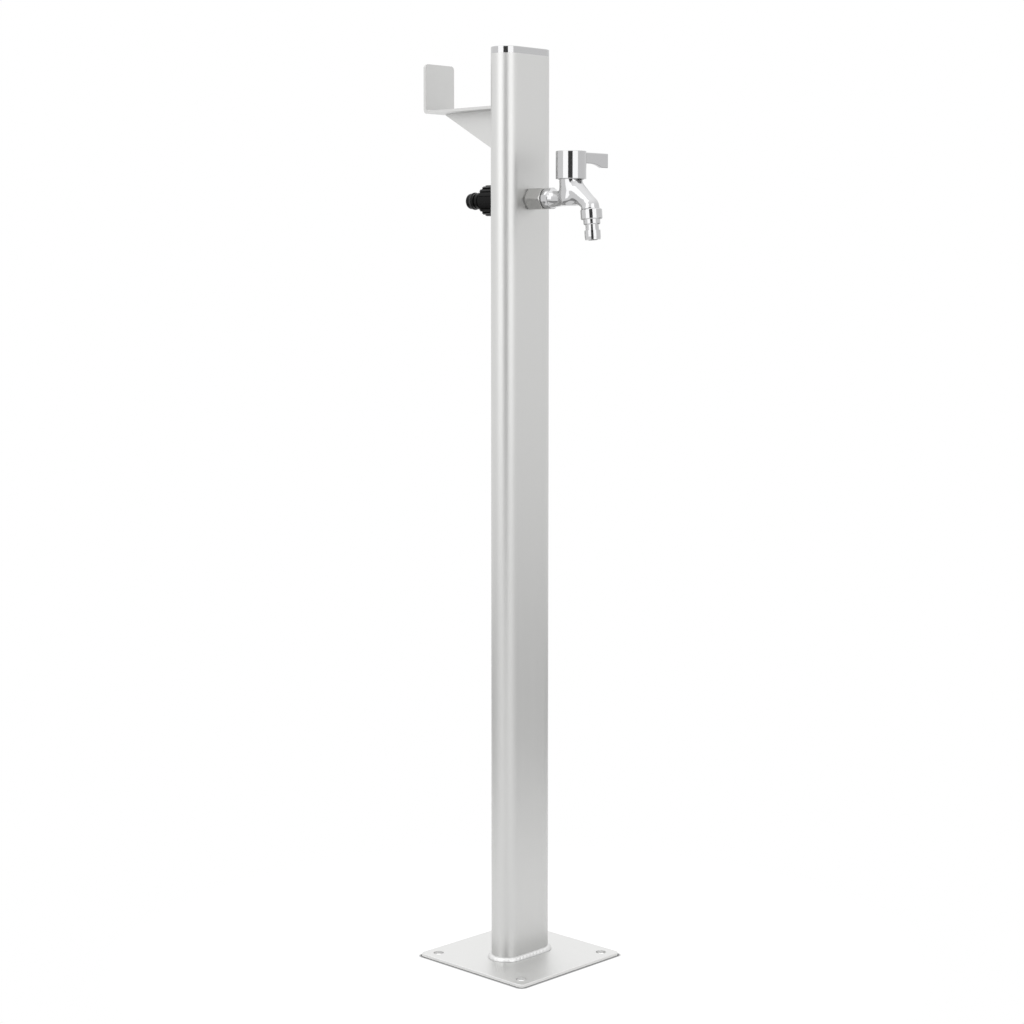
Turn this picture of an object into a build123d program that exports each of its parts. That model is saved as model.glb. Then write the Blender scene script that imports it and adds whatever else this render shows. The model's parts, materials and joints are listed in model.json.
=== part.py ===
from build123d import *
from math import cos, pi, radians, sin, tan
import os

# Garden standpipe, in millimetres. +Z is up and the origin is the middle of the foot plate's underside.
# The tap points to -Y, the hose holder and the quick connector point to +Y.

# Clearances shared by all pieces
running_clearance = 0.05
thread_clearance = 0.1
slip_clearance = 0.3
cut_overrun = 4.0

# Overall size and foot plate
overall_height = 950.0
plate_side = 150.0
plate_thickness = 3.0
plate_corner_radius = 5.0
plate_edge_break = 0.4
ground_bolt_hole = 11.0
ground_bolt_spacing = 122.0

# Column: a flat oval tube
column_width = 72.0
column_depth = 32.0
column_wall = 2.0
weld_leg = 4.6
weld_crown_share = 0.62

# Top cap
cap_height = 7.0
cap_edge_radius = 0.7
cap_top_thickness = 2.4
cap_skirt_depth = 16.0
cap_skirt_wall = 1.6
cap_rib_width = 2.0
cap_rib_height = 0.4
cap_rib_spacing = 22.0

# Hose holder
holder_drop = 57.5
holder_width = 42.0
holder_sheet = 3.0
holder_bend_radius = 4.5
holder_reach = 105.4
holder_lip_height = 52.0
holder_flange_height = 64.0
holder_corner_radius = 4.0
gusset_reach = 89.0
gusset_height = 49.5
gusset_tip = 1.2
gusset_inner_clip = 4.0
holder_screw_thread = 5.0
holder_screw_head = 9.5
holder_screw_head_height = 3.4
holder_screw_drive = 3.0
holder_screw_drive_depth = 1.8
holder_screw_spacing = 24.0
holder_screw_pitch = 30.0
holder_screw_drop = 12.5
holder_screw_tip = 2.0
nut_plate_thickness = 4.0
nut_plate_margin = 5.5

# Water way through the column
tap_drop = 152.9
pipe_thread = 16.6
pipe_bore = 11.0
fitting_flats = 21.0
fitting_length = 20.0
fitting_socket_depth = 13.5
fitting_shank_end = 13.6
hexagon_face_share = 0.97
front_washer_diameter = 20.8
front_washer_thickness = 1.0
spacer_wall = 2.5
rear_washer_diameter = 29.0
rear_washer_thickness = 1.5
bush_flats = 30.0
bush_hexagon = 6.0
bush_thread = 26.4
bush_thread_length = 12.0
bush_thread_depth = 13.4

# Quick connector
collar_diameter = 32.2
collar_start_gap = 1.0
collar_end_wall = 9.2
collar_chamfer = 0.8
grip_rib_count = 18
grip_rib_height = 1.1
grip_rib_share = 0.52
connector_washer_thickness = 2.2
connector_washer_bore = 13.0
stub_diameter = 16.4
stub_length = 26.0
stub_bore = 9.5
stub_nose_radius = 2.6
stub_stop_diameter = 17.6
stub_stop_width = 3.6
stub_stop_place = 8.4
stub_waist_diameter = 14.0
stub_waist_width = 2.6
oring_section = 2.4
oring_squeeze_share = 0.62
oring_place = 18.6

# Tap body
valve_reach = 71.0
tail_length = 12.6
inlet_seal_thickness = 1.4
inlet_seal_diameter = 19.6
tap_flats = 20.6
tap_collar_diameter = 21.6
tap_collar_share = 0.395
tap_shoulder_share = 0.27
tap_neck_radius = 8.3
tap_neck_drop = 1.3
tap_neck_rise = 1.88
inlet_bore = 9.0
passage_bore = 5.2
passage_level = -3.6
chamber_radius = 11.85
chamber_floor = 8.2
chamber_bowl = 5.5
chamber_bore = 17.0
chamber_top = 19.9
seat_height = 1.0
seat_bore = 8.0
passage_lap = 5.0
neck_fillet = 4.0
neck_fillet_share = 0.6
spout_fillet = 5.0
spout_taper = 6.0
spout_slope = 36.0
spout_bend_radius = 9.0
spout_root_reach = 2.0
spout_radius = 8.4
spout_bore = 8.4
outlet_lean = 5.0
outlet_reach = 26.2
outlet_drop = 12.1
outlet_boss_radius = 9.3
outlet_boss_height = 12.9
outlet_thread = 16.4
outlet_thread_length = 7.6

# Valve cartridge
disc_diameter = 14.0
disc_thickness = 3.0
disc_port_inner = 1.8
disc_port_outer = 5.0
disc_port_angle = 76.0
seat_seal_thickness = 2.0
seat_seal_bore = 10.4
housing_diameter = 15.4
housing_thread = 16.8
housing_thread_length = 7.0
housing_window_width = 6.0
housing_window_height = 3.4
housing_flats = 20.0
housing_hexagon = 4.0
housing_stem_diameter = 12.6
housing_stem_height = 7.4
housing_oring_section = 1.4
spindle_diameter = 8.0
spindle_drive = 6.4
spindle_tang_width = 4.0
spindle_tang_length = 12.0
spindle_tang_height = 3.6
spindle_tang_bite = 1.4
spindle_oring_section = 1.3
spindle_oring_drop = 3.6
clip_thickness = 0.9
clip_width = 2.2
clip_groove_depth = 0.7

# Lever handle
handle_diameter = 30.8
handle_height = 28.0
handle_skirt_lap = 1.6
handle_wall = 2.2
handle_roof = 3.0
handle_edge_radius = 0.7
handle_hub_diameter = 13.0
handle_hub_web = 2.2
lever_reach = 53.9
lever_thickness = 4.0
lever_neck_height = 11.0
lever_tip_height = 14.6
lever_top_step = 0.4
lever_flare_start = 28.0
lever_flare_end = 43.7
lever_edge_radius = 0.8
plug_diameter = 13.0
plug_thickness = 1.6
handle_screw_thread = 4.0
handle_screw_head = 7.4
handle_screw_head_height = 2.6
handle_screw_length = 9.0
handle_screw_drive = 2.6

# Hose nozzle
nozzle_head_diameter = 21.8
nozzle_head_length = 10.4
nozzle_head_chamfer = 0.8
nozzle_washer_thickness = 1.6
nozzle_ring_diameter = 17.0
nozzle_ring_width = 5.2
nozzle_ring_chamfer = 0.9
nozzle_neck_diameter = 13.4
nozzle_neck_width = 5.6
nozzle_barb_diameter = 16.2
nozzle_barb_tip_diameter = 15.4
nozzle_barb_length = 9.4
nozzle_barb_land = 6.4
nozzle_bore = 9.6

# Levels and stations that follow from the sizes above
column_top = overall_height - cap_height
column_flat = column_width - column_depth
inner_width = column_width - 2 * column_wall
inner_depth = column_depth - 2 * column_wall
column_face = column_depth / 2
shelf_top = overall_height - holder_drop
shelf_bottom = shelf_top - holder_sheet
tap_level = overall_height - tap_drop
wall_hole = pipe_thread + 2 * slip_clearance

tap_origin = (0, 0, tap_level)
tap_axis = Axis(tap_origin, (0, 1, 0))
tap_section = Plane(origin=tap_origin, x_dir=(0, 1, 0), z_dir=(1, 0, 0))

valve_origin = (0, -valve_reach, tap_level)
valve_axis = Axis(valve_origin, (0, 0, 1))
valve_section = Plane(origin=valve_origin, x_dir=(1, 0, 0), z_dir=(0, -1, 0))


def level_plane(height):
    """A horizontal plane over the valve, at a height above the tap's axis."""
    return Plane(origin=(0, -valve_reach, tap_level + height), x_dir=(1, 0, 0), z_dir=(0, 0, 1))


def front_plane(station):
    """An upright plane across the tap's axis that faces the front, at a place along Y."""
    return Plane(origin=(0, station, tap_level), x_dir=(1, 0, 0), z_dir=(0, -1, 0))


def turned_hexagon(plane, flats, length, corner_diameter, turn=0.0):
    """A hexagon bar with its corners turned down and a 30 degree chamfer at both ends."""
    corner = corner_diameter / 2
    face = flats / 2 * hexagon_face_share
    run = (corner - face) * tan(radians(30))
    axis = Axis(plane.origin, plane.z_dir)
    section = Plane(origin=plane.origin, x_dir=plane.x_dir, z_dir=plane.x_dir.cross(plane.z_dir))
    with BuildPart() as bar:
        with BuildSketch(plane):
            RegularPolygon(flats / 2, 6, major_radius=False, rotation=turn)
        extrude(amount=length)
        with BuildSketch(section):
            with BuildLine():
                Polyline(
                    (0, 0),
                    (face, 0),
                    (corner, run),
                    (corner, length - run),
                    (face, length),
                    (0, length),
                    close=True,
                )
            make_face()
        revolve(axis=axis, mode=Mode.INTERSECT)
    return bar.part


os.makedirs("parts", exist_ok=True)

# Foot plate: square, with rounded corners and four bolt holes

with BuildPart() as base_plate:
    with BuildSketch():
        RectangleRounded(plate_side, plate_side, plate_corner_radius)
        with GridLocations(ground_bolt_spacing, ground_bolt_spacing, 2, 2):
            Circle(ground_bolt_hole / 2, mode=Mode.SUBTRACT)
    extrude(amount=plate_thickness)
    top_face = base_plate.faces().sort_by(Axis.Z)[-1]
    chamfer(top_face.outer_wire().edges(), plate_edge_break)
base_plate.part.label = "base_plate"
export_step(base_plate.part, "parts/base_plate.step")

# Column: flat oval tube, drilled for the water way and for the holder's screws

first_screw_level = shelf_top - holder_screw_drop
screw_rows = (first_screw_level, first_screw_level - holder_screw_pitch)
screw_spots = [
    (x, z)
    for x in (-holder_screw_spacing / 2, holder_screw_spacing / 2)
    for z in screw_rows
]

with BuildPart() as column_tube:
    with BuildSketch(Plane.XY.offset(plate_thickness)):
        SlotOverall(column_width, column_depth)
        SlotOverall(inner_width, inner_depth, mode=Mode.SUBTRACT)
    extrude(amount=column_top - plate_thickness)
    with BuildSketch(Plane.XZ):
        with Locations((0, tap_level)):
            Circle(wall_hole / 2)
    extrude(amount=column_depth, both=True, mode=Mode.SUBTRACT)
    with BuildSketch(Plane.XZ):
        with Locations(*screw_spots):
            Circle(holder_screw_thread / 2 + slip_clearance)
    extrude(amount=-column_depth, mode=Mode.SUBTRACT)
column_tube.part.label = "column_tube"
export_step(column_tube.part, "parts/column_tube.step")

# Weld bead: a convex fillet that runs once round the column's foot

end_x = column_flat / 2
with BuildPart() as foot_weld:
    with BuildLine() as foot_path:
        Line((0, -column_face, plate_thickness), (end_x, -column_face, plate_thickness))
        ThreePointArc(
            (end_x, -column_face, plate_thickness),
            (end_x + column_face, 0, plate_thickness),
            (end_x, column_face, plate_thickness),
        )
        Line((end_x, column_face, plate_thickness), (-end_x, column_face, plate_thickness))
        ThreePointArc(
            (-end_x, column_face, plate_thickness),
            (-end_x - column_face, 0, plate_thickness),
            (-end_x, -column_face, plate_thickness),
        )
        Line((-end_x, -column_face, plate_thickness), (0, -column_face, plate_thickness))
    bead_origin = (0, -column_face, plate_thickness)
    with BuildSketch(Plane(origin=bead_origin, x_dir=(0, -1, 0), z_dir=(-1, 0, 0))):
        with BuildLine():
            crown = weld_leg * weld_crown_share
            Polyline((0, weld_leg), (0, 0), (weld_leg, 0))
            ThreePointArc((weld_leg, 0), (crown, crown), (0, weld_leg))
        make_face()
    sweep(path=foot_path.wire())
foot_weld.part.label = "foot_weld"
export_step(foot_weld.part, "parts/foot_weld.step")

# Top cap: a chrome lid over the tube's end with a ribbed skirt inside

skirt_width = inner_width - 2 * cap_rib_height
skirt_depth = inner_depth - 2 * cap_rib_height
with BuildPart() as top_cap:
    with BuildSketch(Plane.XY.offset(column_top)):
        SlotOverall(column_width, column_depth)
    extrude(amount=cap_height)
    fillet(top_cap.faces().sort_by(Axis.Z)[-1].edges(), cap_edge_radius)
    with BuildSketch(Plane.XY.offset(column_top)):
        SlotOverall(skirt_width, skirt_depth)
        with GridLocations(cap_rib_spacing, inner_depth - cap_rib_height - cap_skirt_wall, 2, 2):
            Rectangle(cap_rib_width, cap_rib_height + cap_skirt_wall)
    extrude(amount=-cap_skirt_depth)
    with BuildSketch(Plane.XY.offset(overall_height - cap_top_thickness)):
        SlotOverall(skirt_width - 2 * cap_skirt_wall, skirt_depth - 2 * cap_skirt_wall)
    extrude(amount=-(cap_height + cap_skirt_depth), mode=Mode.SUBTRACT)
top_cap.part.label = "top_cap"
export_step(top_cap.part, "parts/top_cap.step")

# Hose holder: one bent sheet with a flange on the column, a shelf and an upturned lip

lip_face = column_face + holder_reach
flange_face = column_face + holder_sheet
flange_bottom = shelf_top - holder_flange_height
with BuildPart() as hose_holder:
    with BuildSketch(Plane.YZ):
        with BuildLine():
            FilletPolyline(
                (column_face, flange_bottom),
                (column_face, shelf_top),
                (lip_face - holder_sheet, shelf_top),
                (lip_face - holder_sheet, shelf_bottom + holder_lip_height),
                radius=(holder_bend_radius, holder_bend_radius - holder_sheet),
            )
            offset(amount=holder_sheet, side=Side.RIGHT)
        make_face()
    extrude(amount=holder_width / 2, both=True)
    lip_corners = hose_holder.edges().filter_by(Axis.Y).group_by(Axis.Z)[-1]
    flange_corners = hose_holder.edges().filter_by(Axis.Y).group_by(Axis.Z)[0]
    fillet(lip_corners + flange_corners, holder_corner_radius)
    with BuildSketch(Plane.XZ.offset(-flange_face)):
        with Locations(*screw_spots):
            Circle(holder_screw_thread / 2 + slip_clearance)
    extrude(amount=holder_sheet + cut_overrun, both=True, mode=Mode.SUBTRACT)
hose_holder.part.label = "hose_holder"
export_step(hose_holder.part, "parts/hose_holder.step")

# Gusset: a three-cornered web in the angle between flange and shelf

with BuildPart() as holder_gusset:
    with BuildSketch(Plane.YZ):
        with BuildLine():
            Polyline(
                (flange_face, shelf_bottom - gusset_inner_clip),
                (flange_face + gusset_inner_clip, shelf_bottom),
                (flange_face + gusset_reach, shelf_bottom),
                (flange_face + gusset_reach, shelf_bottom - gusset_tip),
                (flange_face + gusset_tip, shelf_bottom - gusset_height),
                (flange_face, shelf_bottom - gusset_height),
                close=True,
            )
        make_face()
    extrude(amount=holder_sheet / 2, both=True)
holder_gusset.part.label = "holder_gusset"
export_step(holder_gusset.part, "parts/holder_gusset.step")

# Four pan-head screws with a hexagon drive

screw_end = column_face - column_wall - nut_plate_thickness - holder_screw_tip
with BuildPart() as holder_screws:
    with BuildSketch(Plane.XZ.offset(-flange_face)):
        with Locations(*screw_spots):
            Circle(holder_screw_head / 2)
    extrude(amount=-holder_screw_head_height)
    fillet(
        holder_screws.edges().filter_by(GeomType.CIRCLE).group_by(Axis.Y)[-1],
        holder_screw_head_height / 2,
    )
    with BuildSketch(Plane.XZ.offset(-flange_face)):
        with Locations(*screw_spots):
            Circle(holder_screw_thread / 2)
    extrude(amount=flange_face - screw_end)
    with BuildSketch(Plane.XZ.offset(-flange_face - holder_screw_head_height)):
        with Locations(*screw_spots):
            RegularPolygon(holder_screw_drive / 2, 6, major_radius=False)
    extrude(amount=holder_screw_drive_depth, mode=Mode.SUBTRACT)
holder_screws.part.label = "holder_screws"
export_step(holder_screws.part, "parts/holder_screws.step")

# Nut plate: a strip inside the column with four tapped holes

nut_plate_face = column_face - column_wall
nut_plate_center = shelf_top - holder_screw_drop - holder_screw_pitch / 2
with BuildPart() as holder_nut_plate:
    with BuildSketch(Plane.XZ.offset(-nut_plate_face)):
        with Locations((0, nut_plate_center)):
            Rectangle(
                holder_screw_spacing + 2 * nut_plate_margin,
                holder_screw_pitch + 2 * nut_plate_margin,
            )
        with Locations(*screw_spots):
            Circle(holder_screw_thread / 2 + thread_clearance, mode=Mode.SUBTRACT)
    extrude(amount=nut_plate_thickness)
holder_nut_plate.part.label = "holder_nut_plate"
export_step(holder_nut_plate.part, "parts/holder_nut_plate.step")

# Wall fitting: hexagon socket in front and a threaded shank through both walls

hexagon_back = -column_face - front_washer_thickness
hexagon_front = hexagon_back - fitting_length
shank_end = column_face + fitting_shank_end
fitting_hexagon = turned_hexagon(
    front_plane(hexagon_back), fitting_flats, fitting_length, fitting_flats / cos(radians(30))
)
with BuildPart() as wall_fitting:
    add(fitting_hexagon)
    with BuildSketch(front_plane(hexagon_back)):
        Circle(pipe_thread / 2)
    extrude(amount=-(shank_end - hexagon_back))
    chamfer(wall_fitting.edges().filter_by(GeomType.CIRCLE).sort_by(Axis.Y)[-1], slip_clearance)
    with BuildSketch(front_plane(hexagon_front)):
        Circle(pipe_thread / 2 + thread_clearance)
    extrude(amount=-fitting_socket_depth, mode=Mode.SUBTRACT)
    with BuildSketch(front_plane(shank_end)):
        Circle(pipe_bore / 2)
    extrude(amount=shank_end - hexagon_front, mode=Mode.SUBTRACT)
wall_fitting.part.label = "wall_fitting"
export_step(wall_fitting.part, "parts/wall_fitting.step")

with BuildPart() as front_washer:
    with BuildSketch(front_plane(-column_face)):
        Circle(front_washer_diameter / 2)
        Circle(wall_hole / 2, mode=Mode.SUBTRACT)
    extrude(amount=front_washer_thickness)
front_washer.part.label = "front_washer"
export_step(front_washer.part, "parts/front_washer.step")

# Spacer sleeve: stands between the two walls round the shank

with BuildPart() as spacer_sleeve:
    with BuildSketch(front_plane(inner_depth / 2)):
        Circle(wall_hole / 2 + spacer_wall)
        Circle(wall_hole / 2, mode=Mode.SUBTRACT)
    extrude(amount=inner_depth)
spacer_sleeve.part.label = "spacer_sleeve"
export_step(spacer_sleeve.part, "parts/spacer_sleeve.step")

with BuildPart() as rear_washer:
    with BuildSketch(front_plane(column_face)):
        Circle(rear_washer_diameter / 2)
        Circle(wall_hole / 2, mode=Mode.SUBTRACT)
    extrude(amount=-rear_washer_thickness)
rear_washer.part.label = "rear_washer"
export_step(rear_washer.part, "parts/rear_washer.step")

# Rear bush: clamps the fitting and carries the wide hose thread

bush_face = column_face + rear_washer_thickness
bush_shoulder = bush_face + bush_hexagon
bush_end = bush_shoulder + bush_thread_length
bush_hexagon_bar = turned_hexagon(
    front_plane(bush_shoulder), bush_flats, bush_hexagon, bush_flats / cos(radians(30))
)
with BuildPart() as rear_bush:
    add(bush_hexagon_bar)
    with BuildSketch(front_plane(bush_shoulder)):
        Circle(bush_thread / 2)
    extrude(amount=-bush_thread_length)
    chamfer(rear_bush.edges().filter_by(GeomType.CIRCLE).sort_by(Axis.Y)[-1], slip_clearance)
    with BuildSketch(front_plane(bush_face)):
        Circle(pipe_thread / 2 + thread_clearance)
    extrude(amount=-bush_thread_depth, mode=Mode.SUBTRACT)
    with BuildSketch(front_plane(bush_end)):
        Circle(pipe_bore / 2)
    extrude(amount=bush_end - bush_face, mode=Mode.SUBTRACT)
rear_bush.part.label = "rear_bush"
export_step(rear_bush.part, "parts/rear_bush.step")

# Flat washer inside the connector

with BuildPart() as connector_washer:
    with BuildSketch(front_plane(bush_end)):
        Circle(bush_thread / 2)
        Circle(connector_washer_bore / 2, mode=Mode.SUBTRACT)
    extrude(amount=-connector_washer_thickness)
connector_washer.part.label = "connector_washer"
export_step(connector_washer.part, "parts/connector_washer.step")

# Quick connector: ribbed screw collar and push-on stub in one moulding

collar_start = bush_shoulder + collar_start_gap
collar_floor = bush_end + connector_washer_thickness
collar_end = collar_floor + collar_end_wall
stub_end = collar_end + stub_length
collar_core = collar_diameter / 2 - grip_rib_height
rib_width = grip_rib_share * pi * collar_diameter / grip_rib_count
oring_groove = stub_diameter / 2 - oring_section * oring_squeeze_share
oring_station = collar_end + oring_place
waist_start = collar_end + stub_stop_place + stub_stop_width
with BuildPart() as quick_connector:
    with BuildSketch(tap_section):
        with BuildLine():
            Polyline(
                (collar_start, 0),
                (collar_start, collar_core),
                (collar_end - collar_chamfer, collar_core),
                (collar_end, collar_core - collar_chamfer),
                (collar_end, stub_diameter / 2),
                (collar_end + stub_stop_place, stub_diameter / 2),
                (collar_end + stub_stop_place, stub_stop_diameter / 2),
                (waist_start, stub_stop_diameter / 2),
                (waist_start, stub_waist_diameter / 2),
                (waist_start + stub_waist_width, stub_waist_diameter / 2),
                (waist_start + stub_waist_width, stub_diameter / 2),
                (oring_station - oring_section / 2, stub_diameter / 2),
                (oring_station - oring_section / 2, oring_groove),
                (oring_station + oring_section / 2, oring_groove),
                (oring_station + oring_section / 2, stub_diameter / 2),
                (stub_end - stub_nose_radius, stub_diameter / 2),
            )
            RadiusArc(
                (stub_end - stub_nose_radius, stub_diameter / 2),
                (stub_end, stub_diameter / 2 - stub_nose_radius),
                stub_nose_radius,
            )
            Polyline(
                (stub_end, stub_diameter / 2 - stub_nose_radius),
                (stub_end, 0),
                (collar_start, 0),
            )
        make_face()
    revolve(axis=tap_axis)
    with BuildSketch(front_plane(collar_start)):
        with PolarLocations(collar_core, grip_rib_count):
            SlotOverall(2 * grip_rib_height + rib_width, rib_width)
    extrude(amount=-(collar_end - collar_start - collar_chamfer))
    with BuildSketch(front_plane(collar_start)):
        Circle(collar_diameter / 2)
    extrude(amount=-(stub_end - collar_start), mode=Mode.INTERSECT)
    with BuildSketch(front_plane(collar_start)):
        Circle(bush_thread / 2 + thread_clearance)
    extrude(amount=-(collar_floor - collar_start), mode=Mode.SUBTRACT)
    with BuildSketch(front_plane(stub_end)):
        Circle(stub_bore / 2)
    extrude(amount=stub_length + collar_end_wall, mode=Mode.SUBTRACT)
quick_connector.part.label = "quick_connector"
export_step(quick_connector.part, "parts/quick_connector.step")

with BuildPart() as connector_oring:
    with BuildSketch(tap_section):
        with Locations((oring_station, oring_groove + oring_section / 2)):
            Circle(oring_section / 2)
    revolve(axis=tap_axis)
connector_oring.part.label = "connector_oring"
export_step(connector_oring.part, "parts/connector_oring.step")

# Seal ring in the dark gap between the hexagon socket and the tap

with BuildPart() as inlet_seal:
    with BuildSketch(front_plane(hexagon_front)):
        Circle(inlet_seal_diameter / 2)
        Circle(pipe_thread / 2 + thread_clearance, mode=Mode.SUBTRACT)
    extrude(amount=inlet_seal_thickness)
inlet_seal.part.label = "inlet_seal"
export_step(inlet_seal.part, "parts/inlet_seal.step")

# Outlet, which leans out from upright, and the spout that slopes down and bends into it

lean = radians(outlet_lean)
slope = radians(spout_slope)
spout_turn = radians(90 - outlet_lean)
outlet_down = (0, -sin(lean), -cos(lean))
outlet_y = -valve_reach - outlet_reach - outlet_drop * sin(lean)
outlet_z = tap_level - outlet_drop * cos(lean)
outlet_face = (0, outlet_y, outlet_z)
outlet_axis = Axis(outlet_face, outlet_down)
outlet_section = Plane(origin=outlet_face, x_dir=outlet_down, z_dir=(1, 0, 0))
outlet_plane = Plane(origin=outlet_face, x_dir=(1, 0, 0), z_dir=outlet_down)
bend_center_y = outlet_y + spout_bend_radius * sin(spout_turn)
bend_center_z = outlet_z - spout_bend_radius * cos(spout_turn)


def spout_plane(turn):
    """The plane across the spout where it points down by an angle from level."""
    middle = (
        0,
        bend_center_y - spout_bend_radius * sin(turn),
        bend_center_z + spout_bend_radius * cos(turn),
    )
    return Plane(origin=middle, x_dir=(1, 0, 0), z_dir=(0, -cos(turn), -sin(turn)))


bend_start = spout_plane(slope)
bend_middle = spout_plane((slope + spout_turn) / 2)
spout_root_length = (-valve_reach - spout_root_reach - bend_start.origin.Y) / cos(slope)
spout_root = bend_start.offset(-spout_root_length)
bore_length = (-valve_reach - chamber_bore / 2 - bend_start.origin.Y) / cos(slope)

# Tap body: one casting of valve chamber, neck, domed shoulder, spout and outlet boss

collar_back = hexagon_front - inlet_seal_thickness
tap_run = valve_reach - chamber_radius + collar_back
tap_collar_length = tap_run * tap_collar_share
tap_shoulder_length = tap_run * tap_shoulder_share
collar_front = collar_back - tap_collar_length
shoulder_front = collar_front - tap_shoulder_length
neck_room = tap_run - tap_collar_length - tap_shoulder_length
neck_blend = min(neck_fillet, neck_room * neck_fillet_share)
shoulder_radius = tap_flats / 2 * hexagon_face_share
neck_length = valve_reach + collar_front
neck_plane = Plane(
    origin=(0, collar_front, tap_level - tap_neck_drop),
    x_dir=(1, 0, 0),
    z_dir=(0, -neck_length, tap_neck_rise),
)
boss_center_y = -valve_reach - outlet_reach
boss_section = Plane(origin=(0, boss_center_y, outlet_z), x_dir=(1, 0, 0), z_dir=(0, -1, 0))
tap_collar = turned_hexagon(
    front_plane(collar_back), tap_flats, tap_collar_length, tap_collar_diameter, turn=30
)
with BuildPart() as tap_body:
    with BuildSketch(valve_section):
        with BuildLine():
            Line((0, -chamber_floor), (chamber_radius - chamber_bowl, -chamber_floor))
            RadiusArc(
                (chamber_radius - chamber_bowl, -chamber_floor),
                (chamber_radius, chamber_bowl - chamber_floor),
                -chamber_bowl,
            )
            Polyline(
                (chamber_radius, chamber_bowl - chamber_floor),
                (chamber_radius, chamber_top + spout_fillet),
                (0, chamber_top + spout_fillet),
                (0, -chamber_floor),
            )
        make_face()
    revolve(axis=valve_axis)
    with BuildSketch(neck_plane):
        Circle(tap_neck_radius)
    extrude(amount=neck_length)
    fillet(tap_body.edges().filter_by(GeomType.BSPLINE), neck_blend)
    with BuildLine() as spout_bend:
        ThreePointArc(bend_start.origin, bend_middle.origin, outlet_face)
    with BuildSketch(bend_start):
        Circle(spout_radius)
    sweep(path=spout_bend.wire())
    with BuildSketch(bend_start):
        Circle(spout_radius)
    extrude(amount=-spout_root_length, taper=-spout_taper)
    fillet(tap_body.edges(Select.LAST).filter_by(GeomType.BSPLINE), spout_fillet)
    with BuildSketch(level_plane(chamber_top)):
        Circle(chamber_radius + 2 * spout_fillet)
    extrude(amount=2 * spout_fillet, mode=Mode.SUBTRACT)

    # Domed shoulder in front of the collar, blended into the neck
    with BuildSketch(tap_section):
        with BuildLine():
            Polyline(
                (shoulder_front, shoulder_radius - tap_shoulder_length),
                (shoulder_front, 0),
                (collar_front + thread_clearance, 0),
                (collar_front + thread_clearance, shoulder_radius),
                (collar_front, shoulder_radius),
            )
            RadiusArc(
                (shoulder_front, shoulder_radius - tap_shoulder_length),
                (collar_front, shoulder_radius),
                tap_shoulder_length,
            )
        make_face()
    revolve(axis=tap_axis)
    add(tap_collar)
    with BuildSketch(front_plane(collar_back)):
        Circle(pipe_thread / 2)
    extrude(amount=-(inlet_seal_thickness + tail_length))

    # Upright boss with a ball top, cut off square to the outlet's axis
    with BuildSketch(boss_section):
        with BuildLine():
            Polyline(
                (0, outlet_boss_height),
                (0, -cut_overrun),
                (outlet_boss_radius, -cut_overrun),
                (outlet_boss_radius, outlet_boss_height - outlet_boss_radius),
            )
            RadiusArc(
                (outlet_boss_radius, outlet_boss_height - outlet_boss_radius),
                (0, outlet_boss_height),
                -outlet_boss_radius,
            )
        make_face()
    revolve(axis=Axis((0, boss_center_y, outlet_z), (0, 0, 1)))
    with BuildSketch(outlet_plane):
        Circle(outlet_boss_radius + cut_overrun)
    extrude(amount=2 * cut_overrun, mode=Mode.SUBTRACT)
    with BuildSketch(outlet_plane):
        Circle(outlet_thread / 2)
    extrude(amount=outlet_thread_length)

    # Water ways: inlet, passage under the seat, seat, chamber, spout and outlet
    passage_start = -valve_reach + chamber_radius + passage_lap
    tail_end = collar_back + inlet_seal_thickness + tail_length
    with BuildSketch(front_plane(tail_end)):
        Circle(inlet_bore / 2)
    extrude(amount=tail_end - passage_start + passage_lap, mode=Mode.SUBTRACT)
    with BuildSketch(Plane(origin=(0, passage_start, tap_level + passage_level), z_dir=(0, -1, 0))):
        Circle(passage_bore / 2)
    extrude(amount=passage_start + valve_reach, mode=Mode.SUBTRACT)
    with BuildSketch(level_plane(passage_level)):
        Circle(seat_bore / 2)
    extrude(amount=seat_height - passage_level, mode=Mode.SUBTRACT)
    with BuildSketch(level_plane(seat_height)):
        Circle(chamber_bore / 2)
    extrude(amount=chamber_top - seat_height, mode=Mode.SUBTRACT)
    with BuildSketch(bend_start):
        Circle(spout_bore / 2)
    extrude(amount=-bore_length, mode=Mode.SUBTRACT)
    with BuildSketch(bend_start):
        Circle(spout_bore / 2)
    revolve(
        axis=Axis((0, bend_center_y, bend_center_z), (1, 0, 0)),
        revolution_arc=90 - outlet_lean - spout_slope,
        mode=Mode.SUBTRACT,
    )
    with BuildSketch(outlet_plane):
        Circle(spout_bore / 2)
    extrude(amount=outlet_thread_length, mode=Mode.SUBTRACT)
tap_body.part.label = "tap_body"
export_step(tap_body.part, "parts/tap_body.step")

# Ceramic discs: two ports each, crossed at rest so that the tap is shut

seal_top = seat_height + seat_seal_thickness
fixed_disc_top = seal_top + disc_thickness
moving_disc_top = fixed_disc_top + disc_thickness


def port_outline(middle_angle):
    """The outline of one disc port, a sector of a ring."""
    start = middle_angle - disc_port_angle / 2
    inner_start = Vector(disc_port_inner, 0).rotate(Axis.Z, start)
    outer_start = Vector(disc_port_outer, 0).rotate(Axis.Z, start)
    inner_end = Vector(disc_port_inner, 0).rotate(Axis.Z, start + disc_port_angle)
    outer_end = Vector(disc_port_outer, 0).rotate(Axis.Z, start + disc_port_angle)
    Line(inner_start, outer_start)
    CenterArc((0, 0), disc_port_outer, start, disc_port_angle)
    Line(outer_end, inner_end)
    CenterArc((0, 0), disc_port_inner, start, disc_port_angle)


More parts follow.
